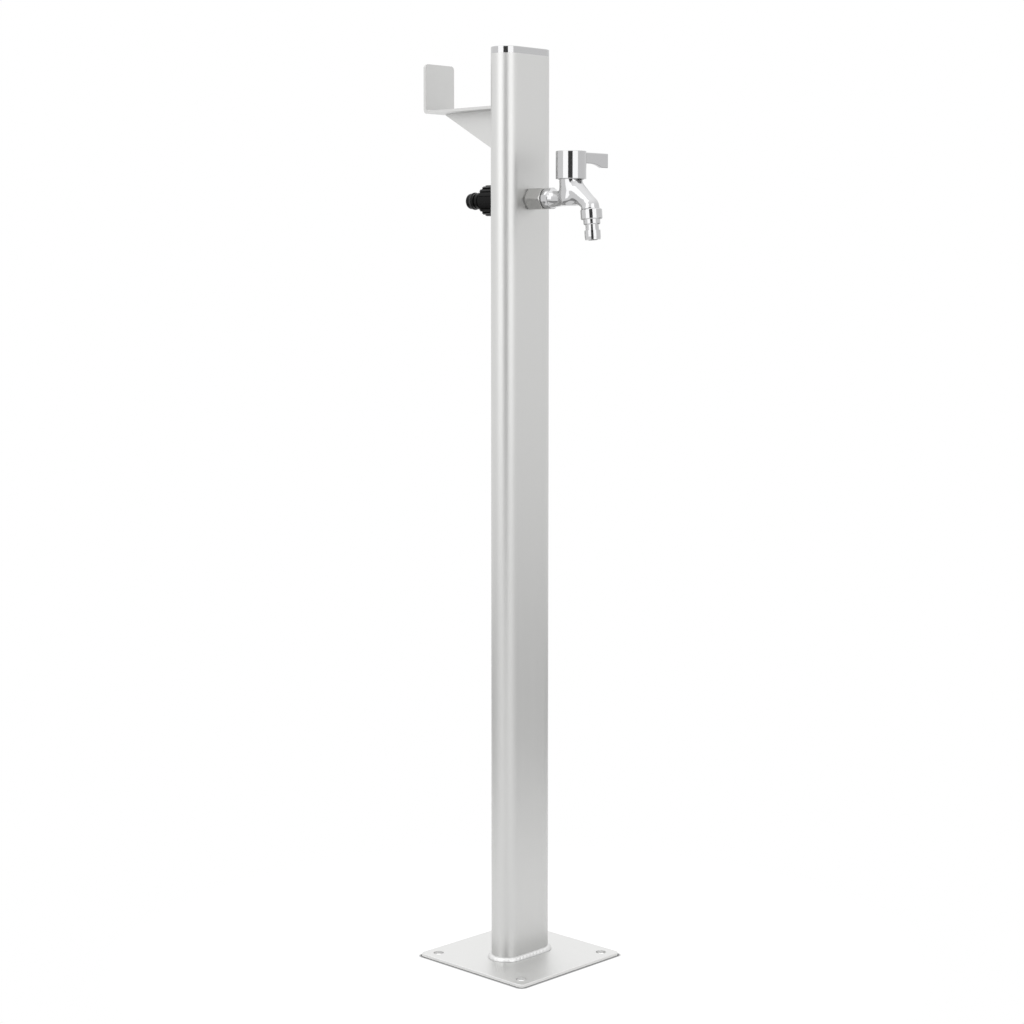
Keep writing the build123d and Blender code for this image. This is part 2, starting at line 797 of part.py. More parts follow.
with BuildPart() as fixed_disc:
    with BuildSketch(level_plane(seal_top)):
        Circle(disc_diameter / 2)
        for port_angle in (0, 180):
            with BuildLine():
                port_outline(port_angle)
            make_face(mode=Mode.SUBTRACT)
    extrude(amount=disc_thickness)
fixed_disc.part.label = "fixed_disc"
export_step(fixed_disc.part, "parts/fixed_disc.step")

with BuildPart() as moving_disc:
    with BuildSketch(level_plane(fixed_disc_top)):
        Circle(disc_diameter / 2 - running_clearance)
        for port_angle in (90, 270):
            with BuildLine():
                port_outline(port_angle)
            make_face(mode=Mode.SUBTRACT)
    extrude(amount=disc_thickness)
    with BuildSketch(level_plane(moving_disc_top)):
        Rectangle(spindle_tang_length + 2 * thread_clearance, spindle_tang_width + 2 * thread_clearance)
    extrude(amount=-spindle_tang_bite, mode=Mode.SUBTRACT)
moving_disc.part.label = "moving_disc"
export_step(moving_disc.part, "parts/moving_disc.step")

with BuildPart() as seat_seal:
    with BuildSketch(level_plane(seat_height)):
        Circle(disc_diameter / 2)
        Circle(seat_seal_bore / 2, mode=Mode.SUBTRACT)
    extrude(amount=seat_seal_thickness)
seat_seal.part.label = "seat_seal"
export_step(seat_seal.part, "parts/seat_seal.step")

# Cartridge housing: skirt with windows round the discs, thread, hexagon and a guide for the spindle

tang_bottom = moving_disc_top - spindle_tang_bite
tang_top = tang_bottom + spindle_tang_height
housing_ceiling = tang_top + slip_clearance
housing_bottom = seat_height + slip_clearance
thread_bottom = chamber_top - housing_thread_length
hexagon_top = chamber_top + housing_hexagon
stem_top = hexagon_top + housing_stem_height
housing_oring_level = chamber_top - housing_oring_section / 2
housing_oring_radius = chamber_bore / 2 - housing_oring_section / 2
housing_groove = housing_oring_radius - housing_oring_section / 2
housing_bar = turned_hexagon(
    level_plane(chamber_top), housing_flats, housing_hexagon, housing_flats / cos(radians(30))
)
with BuildPart() as cartridge_housing:
    add(housing_bar)
    with BuildSketch(valve_section):
        with BuildLine():
            Polyline(
                (0, housing_bottom),
                (housing_diameter / 2, housing_bottom),
                (housing_diameter / 2, thread_bottom),
                (housing_thread / 2, thread_bottom),
                (housing_thread / 2, chamber_top - housing_oring_section),
                (housing_groove, chamber_top - housing_oring_section),
                (housing_groove, chamber_top),
                (housing_stem_diameter / 2, chamber_top),
                (housing_stem_diameter / 2, stem_top),
                (0, stem_top),
                close=True,
            )
        make_face()
    revolve(axis=valve_axis)
    with BuildSketch(level_plane(housing_bottom)):
        Circle(disc_diameter / 2 + running_clearance)
    extrude(amount=housing_ceiling - housing_bottom, mode=Mode.SUBTRACT)
    with BuildSketch(level_plane(housing_ceiling)):
        Circle(spindle_diameter / 2 + running_clearance)
    extrude(amount=stem_top - housing_ceiling, mode=Mode.SUBTRACT)
    with BuildSketch(level_plane(tang_bottom)):
        Rectangle(housing_thread, housing_window_width)
        Rectangle(housing_window_width, housing_thread)
    extrude(amount=housing_window_height, mode=Mode.SUBTRACT)
cartridge_housing.part.label = "cartridge_housing"
export_step(cartridge_housing.part, "parts/cartridge_housing.step")

with BuildPart() as cartridge_oring:
    with BuildSketch(valve_section):
        with Locations((housing_oring_radius, housing_oring_level)):
            Circle(housing_oring_section / 2)
    revolve(axis=valve_axis)
cartridge_oring.part.label = "cartridge_oring"
export_step(cartridge_oring.part, "parts/cartridge_oring.step")

# Levels of the handle, from its top down to the spindle that it sits on

handle_bottom = chamber_top - handle_skirt_lap
handle_top = handle_bottom + handle_height
screw_seat = handle_top - plug_thickness - handle_screw_head_height - slip_clearance
socket_top = screw_seat - handle_hub_web
drive_top = socket_top - slip_clearance
clip_bottom = stem_top + running_clearance
clip_top = clip_bottom + clip_thickness
drive_bottom = clip_top + slip_clearance
screw_tip = screw_seat - handle_screw_length
spindle_oring_level = stem_top - spindle_oring_drop
spindle_groove = spindle_diameter / 2 - spindle_oring_section
clip_groove = spindle_diameter / 2 - clip_groove_depth

# Spindle: a tang that turns the upper disc, a stem with two grooves and a square drive on top

with BuildPart() as spindle:
    with BuildSketch(valve_section):
        with BuildLine():
            Polyline(
                (0, tang_top),
                (spindle_diameter / 2, tang_top),
                (spindle_diameter / 2, spindle_oring_level - spindle_oring_section / 2),
                (spindle_groove, spindle_oring_level - spindle_oring_section / 2),
                (spindle_groove, spindle_oring_level + spindle_oring_section / 2),
                (spindle_diameter / 2, spindle_oring_level + spindle_oring_section / 2),
                (spindle_diameter / 2, clip_bottom),
                (clip_groove, clip_bottom),
                (clip_groove, clip_top),
                (spindle_diameter / 2, clip_top),
                (spindle_diameter / 2, drive_top),
                (0, drive_top),
                close=True,
            )
        make_face()
    revolve(axis=valve_axis)
    with BuildSketch(level_plane(drive_bottom)):
        Circle(spindle_diameter / 2 + cut_overrun)
        Rectangle(spindle_drive, spindle_drive, mode=Mode.SUBTRACT)
    extrude(amount=drive_top - drive_bottom, mode=Mode.SUBTRACT)
    with BuildSketch(level_plane(tang_bottom)):
        Rectangle(spindle_tang_length, spindle_tang_width)
    extrude(amount=spindle_tang_height)
    with BuildSketch(level_plane(drive_top)):
        Circle(handle_screw_thread / 2 + thread_clearance)
    extrude(amount=-(drive_top - screw_tip + slip_clearance), mode=Mode.SUBTRACT)
spindle.part.label = "spindle"
export_step(spindle.part, "parts/spindle.step")

with BuildPart() as spindle_oring:
    with BuildSketch(valve_section):
        with Locations((spindle_groove + spindle_oring_section / 2, spindle_oring_level)):
            Circle(spindle_oring_section / 2)
    revolve(axis=valve_axis)
spindle_oring.part.label = "spindle_oring"
export_step(spindle_oring.part, "parts/spindle_oring.step")

with BuildPart() as spindle_clip:
    with BuildSketch(level_plane(clip_bottom)):
        Circle(clip_groove + clip_width)
        Circle(clip_groove, mode=Mode.SUBTRACT)
        with Locations((0, clip_groove + clip_width / 2)):
            Rectangle(2 * clip_groove_depth + clip_width, 2 * clip_width, mode=Mode.SUBTRACT)
    extrude(amount=clip_thickness)
spindle_clip.part.label = "spindle_clip"
export_step(spindle_clip.part, "parts/spindle_clip.step")

# Lever handle: hollow barrel with a hub inside and a paddle lever that deepens towards its tip

lever_top = handle_top - lever_top_step
lever_root = handle_diameter / 2 - handle_wall
neck_bottom = lever_top - lever_neck_height
tip_bottom = lever_top - lever_tip_height
with BuildPart() as lever_handle:
    with BuildSketch(valve_section):
        with BuildLine():
            Polyline(
                (lever_root, lever_top),
                (lever_reach, lever_top),
                (lever_reach, tip_bottom),
                (lever_flare_end, tip_bottom),
            )
            TangentArc(
                (lever_flare_start, neck_bottom), (lever_flare_end, tip_bottom), tangent=(1, 0)
            )
            Polyline(
                (lever_flare_start, neck_bottom),
                (lever_root, neck_bottom),
                (lever_root, lever_top),
            )
        make_face()
    extrude(amount=lever_thickness / 2, both=True)
    lever_edges = lever_handle.edges().filter_by_position(
        Axis.X, lever_root + lever_edge_radius, lever_reach + lever_edge_radius
    )
    fillet(lever_edges, lever_edge_radius)
    with BuildSketch(level_plane(handle_bottom)):
        Circle(handle_diameter / 2)
    extrude(amount=handle_height)
    rims = lever_handle.edges().filter_by(GeomType.CIRCLE).filter_by(
        lambda edge: edge.radius > handle_diameter / 2 - running_clearance
    )
    fillet(rims.group_by(Axis.Z)[0] + rims.group_by(Axis.Z)[-1], handle_edge_radius)
    with BuildSketch(level_plane(handle_bottom)):
        Circle(handle_diameter / 2 - handle_wall)
    extrude(amount=handle_height - handle_roof, mode=Mode.SUBTRACT)
    with BuildSketch(level_plane(drive_bottom)):
        Circle(handle_hub_diameter / 2)
    extrude(amount=handle_top - handle_roof - drive_bottom)
    with BuildSketch(level_plane(drive_bottom)):
        Rectangle(spindle_drive + 2 * running_clearance, spindle_drive + 2 * running_clearance)
        Circle(spindle_diameter / 2 + running_clearance, mode=Mode.INTERSECT)
    extrude(amount=socket_top - drive_bottom, mode=Mode.SUBTRACT)
    with BuildSketch(level_plane(socket_top)):
        Circle(handle_screw_thread / 2 + thread_clearance)
    extrude(amount=handle_hub_web, mode=Mode.SUBTRACT)
    with BuildSketch(level_plane(screw_seat)):
        Circle(handle_screw_head / 2 + slip_clearance)
    extrude(amount=handle_top - screw_seat, mode=Mode.SUBTRACT)
    with BuildSketch(level_plane(handle_top - plug_thickness)):
        Circle(plug_diameter / 2)
    extrude(amount=plug_thickness, mode=Mode.SUBTRACT)
lever_handle.part.label = "lever_handle"
export_step(lever_handle.part, "parts/lever_handle.step")

with BuildPart() as handle_screw:
    with BuildSketch(level_plane(screw_seat)):
        Circle(handle_screw_head / 2)
    extrude(amount=handle_screw_head_height)
    fillet(
        handle_screw.edges().group_by(Axis.Z)[-1],
        handle_screw_head_height / 2,
    )
    with BuildSketch(level_plane(screw_seat)):
        Circle(handle_screw_thread / 2)
    extrude(amount=-handle_screw_length)
    with BuildSketch(level_plane(screw_seat + handle_screw_head_height)):
        RegularPolygon(handle_screw_drive / 2, 6, major_radius=False)
    extrude(amount=-handle_screw_head_height / 2, mode=Mode.SUBTRACT)
handle_screw.part.label = "handle_screw"
export_step(handle_screw.part, "parts/handle_screw.step")

with BuildPart() as handle_plug:
    with BuildSketch(level_plane(handle_top - plug_thickness)):
        Circle(plug_diameter / 2 - running_clearance)
    extrude(amount=plug_thickness)
    chamfer(handle_plug.edges().group_by(Axis.Z)[-1], slip_clearance)
handle_plug.part.label = "handle_plug"
export_step(handle_plug.part, "parts/handle_plug.step")

# Hose nozzle: round head screwed on the outlet, with a ring and a barbed end

nozzle_floor = outlet_thread_length + nozzle_washer_thickness
ring_end = nozzle_head_length + nozzle_ring_width
neck_end = ring_end + nozzle_neck_width
nozzle_end = neck_end + nozzle_barb_length
with BuildPart() as hose_nozzle:
    with BuildSketch(outlet_section):
        with BuildLine():
            Polyline(
                (0, 0),
                (0, nozzle_head_diameter / 2 - nozzle_head_chamfer),
                (nozzle_head_chamfer, nozzle_head_diameter / 2),
                (nozzle_head_length - nozzle_head_chamfer, nozzle_head_diameter / 2),
                (nozzle_head_length, nozzle_head_diameter / 2 - nozzle_head_chamfer),
                (nozzle_head_length, nozzle_ring_diameter / 2),
                (ring_end - nozzle_ring_chamfer, nozzle_ring_diameter / 2),
                (ring_end, nozzle_ring_diameter / 2 - nozzle_ring_chamfer),
                (ring_end, nozzle_neck_diameter / 2),
                (neck_end, nozzle_neck_diameter / 2),
                (neck_end, nozzle_barb_diameter / 2),
                (neck_end + nozzle_barb_land, nozzle_barb_diameter / 2),
                (nozzle_end, nozzle_barb_tip_diameter / 2),
                (nozzle_end, 0),
                close=True,
            )
        make_face()
    revolve(axis=outlet_axis)
    with BuildSketch(outlet_plane):
        Circle(outlet_thread / 2 + thread_clearance)
    extrude(amount=nozzle_floor, mode=Mode.SUBTRACT)
    with BuildSketch(outlet_plane):
        Circle(nozzle_bore / 2)
    extrude(amount=nozzle_end, mode=Mode.SUBTRACT)
hose_nozzle.part.label = "hose_nozzle"
export_step(hose_nozzle.part, "parts/hose_nozzle.step")

with BuildPart() as nozzle_washer:
    with BuildSketch(outlet_plane.offset(outlet_thread_length)):
        Circle(outlet_thread / 2)
        Circle(nozzle_bore / 2, mode=Mode.SUBTRACT)
    extrude(amount=nozzle_washer_thickness)
nozzle_washer.part.label = "nozzle_washer"
export_step(nozzle_washer.part, "parts/nozzle_washer.step")
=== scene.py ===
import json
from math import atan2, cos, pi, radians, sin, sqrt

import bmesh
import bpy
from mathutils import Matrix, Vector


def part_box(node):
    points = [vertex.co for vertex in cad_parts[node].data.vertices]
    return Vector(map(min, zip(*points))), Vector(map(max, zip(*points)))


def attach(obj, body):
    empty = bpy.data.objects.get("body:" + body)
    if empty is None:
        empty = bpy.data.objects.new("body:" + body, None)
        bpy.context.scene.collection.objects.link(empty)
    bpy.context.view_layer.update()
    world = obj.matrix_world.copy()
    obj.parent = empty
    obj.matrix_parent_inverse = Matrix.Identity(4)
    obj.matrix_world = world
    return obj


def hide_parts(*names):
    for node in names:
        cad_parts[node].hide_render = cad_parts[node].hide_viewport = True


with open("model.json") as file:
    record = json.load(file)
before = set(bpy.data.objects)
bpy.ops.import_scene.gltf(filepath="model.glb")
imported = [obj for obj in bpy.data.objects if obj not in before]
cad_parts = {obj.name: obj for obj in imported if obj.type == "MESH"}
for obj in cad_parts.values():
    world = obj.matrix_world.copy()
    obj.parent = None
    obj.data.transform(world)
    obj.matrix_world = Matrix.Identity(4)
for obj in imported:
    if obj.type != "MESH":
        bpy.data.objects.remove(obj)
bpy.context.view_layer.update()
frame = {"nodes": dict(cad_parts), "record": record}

# %% [markdown]
# # Dressing a garden standpipe
#
# The CAD frame already holds every rigid piece of the standpipe at its real size: a flat oval
# aluminium column on a square plate, a hose holder, a chrome tap on the front and a black hose
# connector on the back. This lesson gives the pieces their finishes, adds the small shapes that
# are easier to model here, and sets up the studio.
#
# All lengths are in metres and every piece stays where the CAD put it.

nodes = frame["nodes"]

# %% [markdown]
# ## The camera
#
# The photograph looks at the column from its front left corner, a little below its top, so that
# the round end of the column and its wide front face both show. A camera could be turned by eye,
# but a named viewpoint with two angles is easier to correct, so the camera is placed that way.

# %% Camera at the photograph's viewpoint
viewpoint = Vector((-1.5639, -1.5106, 0.7130))
heading = 0.7719
downward_tilt = 0.0948
image_side = 1024
focal_pixels = 2098.2
sensor_width = 36.0
picture_shift = -0.03

camera_data = bpy.data.cameras.new("photo_camera")
camera_data.sensor_width = sensor_width
camera_data.lens = focal_pixels / image_side * sensor_width
camera_data.shift_y = picture_shift
camera = bpy.data.objects.new("photo_camera", camera_data)
camera.location = viewpoint
camera.rotation_euler = (pi / 2 - downward_tilt, 0.0, heading - pi / 2)
bpy.context.scene.collection.objects.link(camera)
bpy.context.scene.camera = camera
print("lens in mm", round(camera_data.lens, 2))

# %% [markdown]
# ## The studio
#
# Polished metal has hardly any colour of its own: what the eye reads as chrome is the room that
# it mirrors. The photograph's bright and dark streaks come from two softboxes beside the camera
# with a dark gap between them, from white walls, and from a strip of white paper that runs under
# the standpipe towards the camera over a greyer floor. The studio is built from those things, so
# that each streak appears on the curved metal by itself.

# %% A small helper for nodes, and the direction from the object to the camera
def add_node(tree, kind, inputs=None, **settings):
    """Adds a node, sets its options and fills the given inputs with values or links."""
    made = tree.nodes.new(kind)
    for name, value in settings.items():
        setattr(made, name, value)
    for name, value in (inputs or {}).items():
        if isinstance(value, bpy.types.NodeSocket):
            tree.links.new(value, made.inputs[name])
        else:
            made.inputs[name].default_value = value
    return made


to_camera = Vector((viewpoint.x, viewpoint.y, 0.0)).normalized()
camera_bearing = atan2(to_camera.y, to_camera.x)
print("camera bearing in degrees", round(camera_bearing / pi * 180, 1))

# %% White surroundings, a little brighter on the left and overhead
white_room = 1.0
room_fill = 0.74
mirror_base = 1.0
mirror_left = 0.05
mirror_overhead = 0.45
overhead_start = 0.1

world = bpy.data.worlds.new("white_room")
world.use_nodes = True
bpy.context.scene.world = world
room = world.node_tree
room.nodes.clear()
ray = add_node(room, "ShaderNodeLightPath")
way = add_node(room, "ShaderNodeTexCoord")
upwards = add_node(room, "ShaderNodeSeparateXYZ", {0: way.outputs["Generated"]})
leftwards = add_node(
    room, "ShaderNodeVectorMath",
    {0: way.outputs["Generated"], 1: (to_camera.y, -to_camera.x, 0.0)}, operation="DOT_PRODUCT",
)
overhead = add_node(
    room, "ShaderNodeMapRange",
    {"Value": upwards.outputs["Z"], "From Min": overhead_start, "To Max": mirror_overhead},
)
side_light = add_node(
    room, "ShaderNodeMath",
    {0: leftwards.outputs["Value"], 1: mirror_left, 2: mirror_base}, operation="MULTIPLY_ADD",
)
mirrored = add_node(
    room, "ShaderNodeMath", {0: side_light.outputs[0], 1: overhead.outputs["Result"]},
    operation="ADD",
)
filled = add_node(
    room, "ShaderNodeMix",
    {"Factor": ray.outputs["Is Glossy Ray"], "A": room_fill, "B": mirrored.outputs[0]},
)
through = add_node(
    room, "ShaderNodeMath",
    {0: ray.outputs["Is Camera Ray"], 1: ray.outputs["Is Transmission Ray"]},
    operation="MAXIMUM",
)
strength = add_node(
    room, "ShaderNodeMix",
    {"Factor": through.outputs[0], "A": filled.outputs["Result"], "B": white_room},
)
background = add_node(
    room, "ShaderNodeBackground",
    {"Color": (1.0, 1.0, 1.0, 1.0), "Strength": strength.outputs["Result"]},
)
add_node(room, "ShaderNodeOutputWorld", {"Surface": background.outputs[0]})

# %% Softboxes: two beside the camera, one high on the left, one above and one behind
def softbox(name, bearing, height, distance, width, tall, brightness, aim=0.6, mirrored=True):
    """A flat area lamp of that brightness, turned towards the middle of the standpipe."""
    lamp = bpy.data.lights.new(name, "AREA")
    lamp.shape = "RECTANGLE"
    lamp.size = width
    lamp.size_y = tall
    lamp.energy = brightness * pi * width * tall
    holder = bpy.data.objects.new(name, lamp)
    spot = Vector((cos(bearing) * distance, sin(bearing) * distance, height))
    holder.location = spot
    holder.rotation_euler = (Vector((0, 0, aim)) - spot).to_track_quat("-Z", "Y").to_euler()
    holder.visible_camera = False
    holder.visible_glossy = mirrored
    bpy.context.scene.collection.objects.link(holder)


gap_turn = radians(-5.5)
gap_half_angle = radians(17)
softbox_far_angle = radians(57)
softbox_distance = 2.9
softbox_bottom = 0.40
softbox_top = 2.5
side_brightness = 0.8
softbox_middle = (gap_half_angle + softbox_far_angle) / 2
softbox_half_angle = (softbox_far_angle - gap_half_angle) / 2
softbox_width = 2 * softbox_distance * sin(softbox_half_angle) / cos(softbox_half_angle)
softbox_tall = softbox_top - softbox_bottom
softbox_height = (softbox_top + softbox_bottom) / 2
gap_bearing = camera_bearing + gap_turn
for side, turn in (("left", -softbox_middle), ("right", softbox_middle)):
    softbox(
        "softbox_" + side, gap_bearing + turn, softbox_height, softbox_distance,
        softbox_width, softbox_tall, side_brightness, aim=softbox_height,
    )
high_turn = radians(-58)
softbox(
    "softbox_high", camera_bearing + high_turn, height=2.75, distance=2.0,
    width=1.9, tall=1.7, brightness=0.7, aim=0.79,
)
softbox(
    "softbox_above", camera_bearing, height=2.3, distance=0.5,
    width=1.3, tall=1.3, brightness=1.5, mirrored=False,
)
softbox(
    "softbox_behind", camera_bearing + pi, height=1.9, distance=2.0,
    width=2.4, tall=1.2, brightness=1.5, mirrored=False,
)
print("softbox width", round(softbox_width, 2))

# %% Materials of the stage: the dark gap and the floor
def empty_material(name):
    """A node material with nothing in it."""
    made = bpy.data.materials.new(name)
    made.use_nodes = True
    made.node_tree.nodes.clear()
    return made


def grey(tree, level):
    """The grey colour of that level, which may be a value or a link."""
    return add_node(
        tree, "ShaderNodeCombineColor", {band: level for band in ("Red", "Green", "Blue")}
    ).outputs[0]


flag_grey = 0.09
flag_cloth = empty_material("flag_cloth")
cloth = add_node(
    flag_cloth.node_tree, "ShaderNodeBsdfDiffuse",
    {"Color": (flag_grey, flag_grey, flag_grey, 1.0)},
)
add_node(flag_cloth.node_tree, "ShaderNodeOutputMaterial", {"Surface": cloth.outputs[0]})

paper_half_width = 0.62
paper_soft_edge = 0.16
near_paper = (0.42, 1.05)
far_paper = (1.55, 2.1)
floor_grey = 0.36
paper_white = 0.94

floor_paper = empty_material("floor_paper")
sheet = floor_paper.node_tree
place = add_node(sheet, "ShaderNodeTexCoord")
turned = add_node(
    sheet, "ShaderNodeMapping",
    {"Vector": place.outputs["Object"], "Rotation": (0.0, 0.0, -camera_bearing)},
)
along = add_node(sheet, "ShaderNodeSeparateXYZ", {0: turned.outputs[0]})
sideways = add_node(sheet, "ShaderNodeMath", {0: along.outputs["Y"]}, operation="ABSOLUTE")
off_strip = add_node(
    sheet, "ShaderNodeMapRange",
    {
        "Value": sideways.outputs[0],
        "From Min": paper_half_width, "From Max": paper_half_width + paper_soft_edge,
    },
    interpolation_type="SMOOTHSTEP",
)
reach = add_node(sheet, "ShaderNodeVectorMath", {0: place.outputs["Object"]}, operation="LENGTH")
off_middle = add_node(
    sheet, "ShaderNodeMapRange",
    {"Value": reach.outputs["Value"], "From Min": near_paper[0], "From Max": near_paper[1]},
    interpolation_type="SMOOTHSTEP",
)
before_edge = add_node(
    sheet, "ShaderNodeMapRange",
    {"Value": reach.outputs["Value"], "From Min": far_paper[1], "From Max": far_paper[0]},
    interpolation_type="SMOOTHSTEP",
)
in_ring = add_node(
    sheet, "ShaderNodeMath", {0: off_middle.outputs["Result"], 1: before_edge.outputs["Result"]},
    operation="MULTIPLY",
)
bare_floor = add_node(
    sheet, "ShaderNodeMath", {0: in_ring.outputs[0], 1: off_strip.outputs["Result"]},
    operation="MULTIPLY",
)
floor_tone = add_node(
    sheet, "ShaderNodeMapRange",
    {"Value": bare_floor.outputs[0], "To Min": paper_white, "To Max": floor_grey},
)
floor_lit = add_node(
    sheet, "ShaderNodeBsdfDiffuse", {"Color": grey(sheet, floor_tone.outputs["Result"])}
)

# %% What the camera sees of the floor
# It is white paper that keeps a soft shadow near the plate, and a painted contact shadow: a darker
# line painted where the plate's rounded edge meets it.
shadow_reach = (0.20, 0.45)
corner_radius = 0.005
painted_contact_width = 0.0042
painted_contact_core = 0.0010
painted_contact_shade = 0.5
paper_shade = 0.42
paper_glow = (0.64, 1.0)
plate_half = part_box("base_plate")[1].x
inner_half = plate_half - corner_radius
one_quarter = add_node(
    sheet, "ShaderNodeVectorMath", {0: place.outputs["Object"]}, operation="ABSOLUTE"
)
past_corner = add_node(
    sheet, "ShaderNodeVectorMath", {0: one_quarter.outputs[0], 1: (inner_half, inner_half, 1.0)},
    operation="SUBTRACT",
)
outwards = add_node(
    sheet, "ShaderNodeVectorMath", {0: past_corner.outputs[0], 1: (0.0, 0.0, 0.0)},
    operation="MAXIMUM",
)
corner_way = add_node(sheet, "ShaderNodeVectorMath", {0: outwards.outputs[0]}, operation="LENGTH")
from_edge = add_node(
    sheet, "ShaderNodeMath", {0: corner_way.outputs["Value"], 1: corner_radius},
    operation="SUBTRACT",
)
edge_gap = add_node(sheet, "ShaderNodeMath", {0: from_edge.outputs[0]}, operation="ABSOLUTE")
# Painted contact shadow: this mask is 0 at the plate's edge and 1 a few millimetres away from it
painted_shadow_fade = add_node(
    sheet, "ShaderNodeMapRange",
    {"Value": edge_gap.outputs[0], "From Min": painted_contact_core, "From Max": painted_contact_width},
)
inside = add_node(
    sheet, "ShaderNodeMath", {0: from_edge.outputs[0], 1: -painted_contact_width},
    operation="LESS_THAN",
)
far = add_node(
    sheet, "ShaderNodeMapRange",
    {
        "Value": reach.outputs["Value"],
        "From Min": shadow_reach[0], "From Max": shadow_reach[1],
    },
    interpolation_type="SMOOTHSTEP",
)
clear = add_node(
    sheet, "ShaderNodeMath", {0: far.outputs["Result"], 1: inside.outputs[0]},
    operation="MAXIMUM",
)
glow_level = add_node(
    sheet, "ShaderNodeMapRange",
    {"Value": clear.outputs[0], "To Min": paper_glow[0], "To Max": paper_glow[1]},
)
glow_strength = add_node(
    sheet, "ShaderNodeMath", {0: glow_level.outputs["Result"], 1: painted_shadow_fade.outputs["Result"]},
    operation="MULTIPLY",
)
shade_level = add_node(
    sheet, "ShaderNodeMapRange",
    {"Value": far.outputs["Result"], "To Min": paper_shade, "To Max": 0.0},
)
# The painted contact shadow also darkens the floor's colour at the plate's edge
painted_shadow_level = add_node(
    sheet, "ShaderNodeMapRange", {"Value": painted_shadow_fade.outputs["Result"], "To Min": painted_contact_shade}
)
painted_shade_near_edge = add_node(
    sheet, "ShaderNodeMath",
    {0: shade_level.outputs["Result"], 1: painted_shadow_level.outputs["Result"]}, operation="MULTIPLY",
)
floor_shade = add_node(
    sheet, "ShaderNodeBsdfDiffuse", {"Color": grey(sheet, painted_shade_near_edge.outputs[0])}
)
floor_glow = add_node(
    sheet, "ShaderNodeEmission",
    {"Color": (1.0, 1.0, 1.0, 1.0), "Strength": glow_strength.outputs[0]},
)
floor_seen = add_node(
    sheet, "ShaderNodeAddShader", {0: floor_shade.outputs[0], 1: floor_glow.outputs[0]}
)
floor_ray = add_node(sheet, "ShaderNodeLightPath")
floor_mix = add_node(
    sheet, "ShaderNodeMixShader",
    {0: floor_ray.outputs["Is Camera Ray"], 1: floor_lit.outputs[0], 2: floor_seen.outputs[0]},
)
add_node(sheet, "ShaderNodeOutputMaterial", {"Surface": floor_mix.outputs[0]})

# %% The floor and the black flag that makes the dark gap
def add_piece(name, bm, material):
    """Turns a bmesh into an object at the origin with one material."""
    mesh = bpy.data.meshes.new(name)
    bm.to_mesh(mesh)
    bm.free()
    mesh.materials.append(material)
    piece = bpy.data.objects.new(name, mesh)
    bpy.context.scene.collection.objects.link(piece)
    return piece


floor_radius = 2.1
floor_gap = 0.0002
floor_segments = 96
bm = bmesh.new()
bmesh.ops.create_circle(bm, cap_ends=True, segments=floor_segments, radius=floor_radius)
bmesh.ops.translate(bm, verts=bm.verts, vec=(0, 0, -floor_gap))
floor = add_piece("studio_floor", bm, floor_paper)

flag_bottom = 0.22
flag_top = 1.45
flag_half_width = softbox_distance * sin(gap_half_angle) / cos(gap_half_angle)
bm = bmesh.new()
bmesh.ops.create_grid(bm, x_segments=1, y_segments=1, size=1.0)
bmesh.ops.scale(bm, verts=bm.verts, vec=(flag_half_width, (flag_top - flag_bottom) / 2, 1.0))
bmesh.ops.rotate(bm, verts=bm.verts, matrix=Matrix.Rotation(pi / 2, 3, "X"))
bmesh.ops.rotate(bm, verts=bm.verts, matrix=Matrix.Rotation(gap_bearing + pi / 2, 3, "Z"))
bmesh.ops.translate(
    bm, verts=bm.verts,
    vec=(
        cos(gap_bearing) * softbox_distance, sin(gap_bearing) * softbox_distance,
        (flag_top + flag_bottom) / 2,
    ),
)
flag = add_piece("black_flag", bm, flag_cloth)
flag.visible_camera = False
flag.visible_shadow = False
flag.visible_diffuse = False
print("flag", round(2 * flag_half_width, 2), "m wide")

# %% [markdown]
# ## Effects that several finishes share
#
# Anodised sheet, plated brass and moulded plastic all show a fine grain, and all of them carry
# faint marks of handling. Painting those by hand would need an image for each piece. A node group
# is made once and placed in every material with its own scale and amount.

# %% Node group: fine grain, as a height for a Bump node and a value that varies with it
def new_group(name, inputs, outputs):
    """A shader node group with inputs (label, kind, default) and the named float outputs."""
    group = bpy.data.node_groups.new(name, "ShaderNodeTree")
    for label, kind, value in inputs:
        socket = group.interface.new_socket(label, in_out="INPUT", socket_type=kind)
        socket.default_value = value
    for label in outputs:
        group.interface.new_socket(label, in_out="OUTPUT", socket_type="NodeSocketFloat")
    return group


number = "NodeSocketFloat"
triple = "NodeSocketVector"
coarse_scale_share = 0.12

grain_group = new_group(
    "fine_grain",
    [
        ("Stretch", triple, (1.0, 1.0, 1.0)), ("Scale", number, 900.0),
        ("Coarse Share", number, 0.3),
    ],
    ["Height", "Variation"],
)
given = add_node(grain_group, "NodeGroupInput")
point = add_node(grain_group, "ShaderNodeTexCoord")
stretched = add_node(
    grain_group, "ShaderNodeVectorMath",
    {0: point.outputs["Object"], 1: given.outputs["Stretch"]}, operation="MULTIPLY",
)
fine = add_node(
    grain_group, "ShaderNodeTexNoise",
    {"Vector": stretched.outputs[0], "Scale": given.outputs["Scale"], "Detail": 2.0},
)
coarse_scale = add_node(
    grain_group, "ShaderNodeMath", {0: given.outputs["Scale"], 1: coarse_scale_share},
    operation="MULTIPLY",
)
coarse = add_node(
    grain_group, "ShaderNodeTexNoise",
    {"Vector": stretched.outputs[0], "Scale": coarse_scale.outputs[0], "Detail": 3.0},
)
blend = add_node(
    grain_group, "ShaderNodeMix",
    {
        "Factor": given.outputs["Coarse Share"],
        "A": fine.outputs["Fac"], "B": coarse.outputs["Fac"],
    },
)
add_node(
    grain_group, "NodeGroupOutput",
    {"Height": blend.outputs["Result"], "Variation": coarse.outputs["Fac"]},
)
